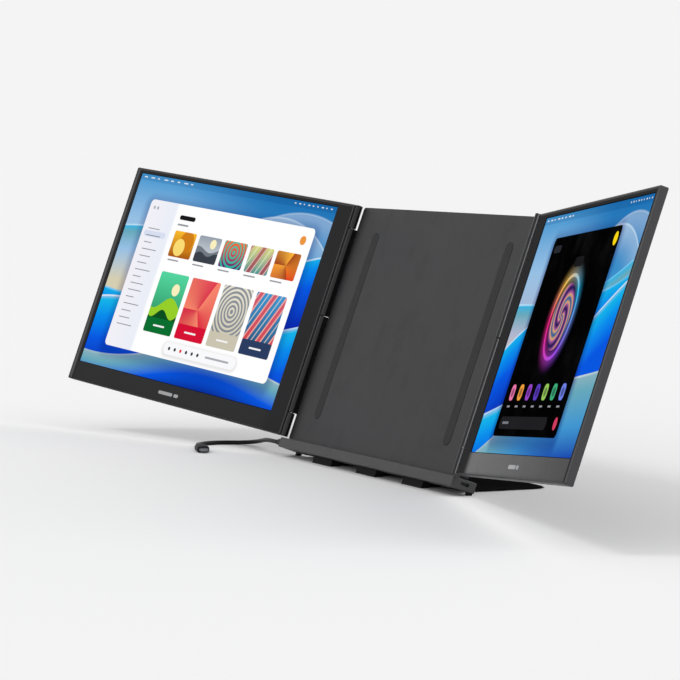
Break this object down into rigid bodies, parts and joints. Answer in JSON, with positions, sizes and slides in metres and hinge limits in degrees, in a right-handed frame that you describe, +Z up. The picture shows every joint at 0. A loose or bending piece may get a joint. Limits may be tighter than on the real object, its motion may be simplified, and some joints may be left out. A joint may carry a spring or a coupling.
{
  "type": "laptop screen extender",
  "caption": "Free-standing centre unit with a kickstand, a base rail with USB-C ports and a wide display hinged at each side.",
  "frame": {"origin": "on the table, at the middle of the sole of the base rail's middle foot", "axes": "+X to the user's right along the base rail, +Y away from the user, +Z up from the table"},
  "size_m": [1.0651, 0.1826, 0.2632],
  "materials": {
    "shell_plastic": "fine matte texture",
    "bezel_plastic": "satin, very fine grain",
    "display_glass": "anti-glare display glass, lit",
    "light_guide": "diffuse white",
    "circuit_board": "solder mask",
    "chip_plastic": "moulded epoxy",
    "hinge_steel": "satin dark paint",
    "pin_steel": "ground",
    "screw_steel": "black oxide",
    "button_plastic": "satin",
    "cover_plastic": "fine matte texture",
    "frame_steel": "zinc plated",
    "silicone": "soft matte",
    "rail_plastic": "fine matte texture",
    "port_steel": "nickel plated",
    "ribbon_film": "amber film",
    "foot_rubber": "matte",
    "stand_steel": "satin powder coat",
    "cable_jacket": "satin flexible jacket",
    "plug_plastic": "satin moulding"
  },
  "bodies": {
    "centre_unit": {"front_cover": "cover_plastic", "rear_cover": "cover_plastic", "stiffener_frame": "frame_steel", "bumpers": "silicone", "cover_screws": "screw_steel", "spine_screws": "screw_steel", "base_rail": "rail_plastic", "rail_cover": "rail_plastic", "rail_screws": "screw_steel", "hub_board": "circuit_board", "hub_chips": "chip_plastic", "kickstand_pins": "pin_steel", "left_end_block": "rail_plastic", "left_port": "port_steel", "left_ribbon": "ribbon_film", "left_lower_spine": "hinge_steel", "left_upper_spine": "hinge_steel", "right_end_block": "rail_plastic", "right_port": "port_steel", "right_ribbon": "ribbon_film", "right_lower_spine": "hinge_steel", "right_upper_spine": "hinge_steel", "rubber_feet": "foot_rubber", "cable": "cable_jacket", "cable_plug": "plug_plastic", "cable_plug_shell": "port_steel", "free_plug": "plug_plastic", "free_plug_shell": "port_steel"},
    "left_screen": {"left_rear_shell": "shell_plastic", "left_bezel": "bezel_plastic", "left_lcd_panel": "display_glass", "left_backlight": "light_guide", "left_led_strip": "circuit_board", "left_driver_board": "circuit_board", "left_driver_chips": "chip_plastic", "left_hinge_leaves": "hinge_steel", "left_hinge_pins": "pin_steel", "left_leaf_screws": "screw_steel", "left_shell_screws": "screw_steel", "left_key_board": "circuit_board"},
    "left_power_button": {"left_power_button": "button_plastic"},
    "left_menu_button": {"left_menu_button": "button_plastic"},
    "right_screen": {"right_rear_shell": "shell_plastic", "right_bezel": "bezel_plastic", "right_lcd_panel": "display_glass", "right_backlight": "light_guide", "right_led_strip": "circuit_board", "right_driver_board": "circuit_board", "right_driver_chips": "chip_plastic", "right_hinge_leaves": "hinge_steel", "right_hinge_pins": "pin_steel", "right_leaf_screws": "screw_steel", "right_shell_screws": "screw_steel", "right_key_board": "circuit_board"},
    "right_power_button": {"right_power_button": "button_plastic"},
    "right_menu_button": {"right_menu_button": "button_plastic"},
    "kickstand": {"kickstand": "stand_steel", "kickstand_foot": "foot_rubber"}
  },
  "joints": [
    {"name": "left_screen_hinge", "type": "hinge", "parent": "centre_unit", "child": "left_screen", "pos_m": [-0.184, 0.03586, 0.12411], "axis": [0, 0.342, 0.9397], "range_deg": [-15.2, 164.8]},
    {"name": "right_screen_hinge", "type": "hinge", "parent": "centre_unit", "child": "right_screen", "pos_m": [0.184, 0.03257, 0.12531], "axis": [0, -0.342, -0.9397], "range_deg": [-14.3, 165.7]},
    {"name": "kickstand_hinge", "type": "hinge", "parent": "centre_unit", "child": "kickstand", "pos_m": [0, 0.00982, 0.00477], "axis": [1, 0, 0], "range_deg": [0, 74.9]},
    {"name": "left_power_button_press", "type": "slide", "parent": "left_screen", "child": "left_power_button", "axis": [0.2622, -0.9068, 0.3301], "range_m": [0, 0.0005], "stiffness_N_per_m": 2000},
    {"name": "left_menu_button_press", "type": "slide", "parent": "left_screen", "child": "left_menu_button", "axis": [0.2622, -0.9068, 0.3301], "range_m": [0, 0.0005], "stiffness_N_per_m": 2000},
    {"name": "right_power_button_press", "type": "slide", "parent": "right_screen", "child": "right_power_button", "axis": [-0.247, -0.9106, 0.3314], "range_m": [0, 0.0005], "stiffness_N_per_m": 2000},
    {"name": "right_menu_button_press", "type": "slide", "parent": "right_screen", "child": "right_menu_button", "axis": [-0.247, -0.9106, 0.3314], "range_m": [0, 0.0005], "stiffness_N_per_m": 2000}
  ]
}
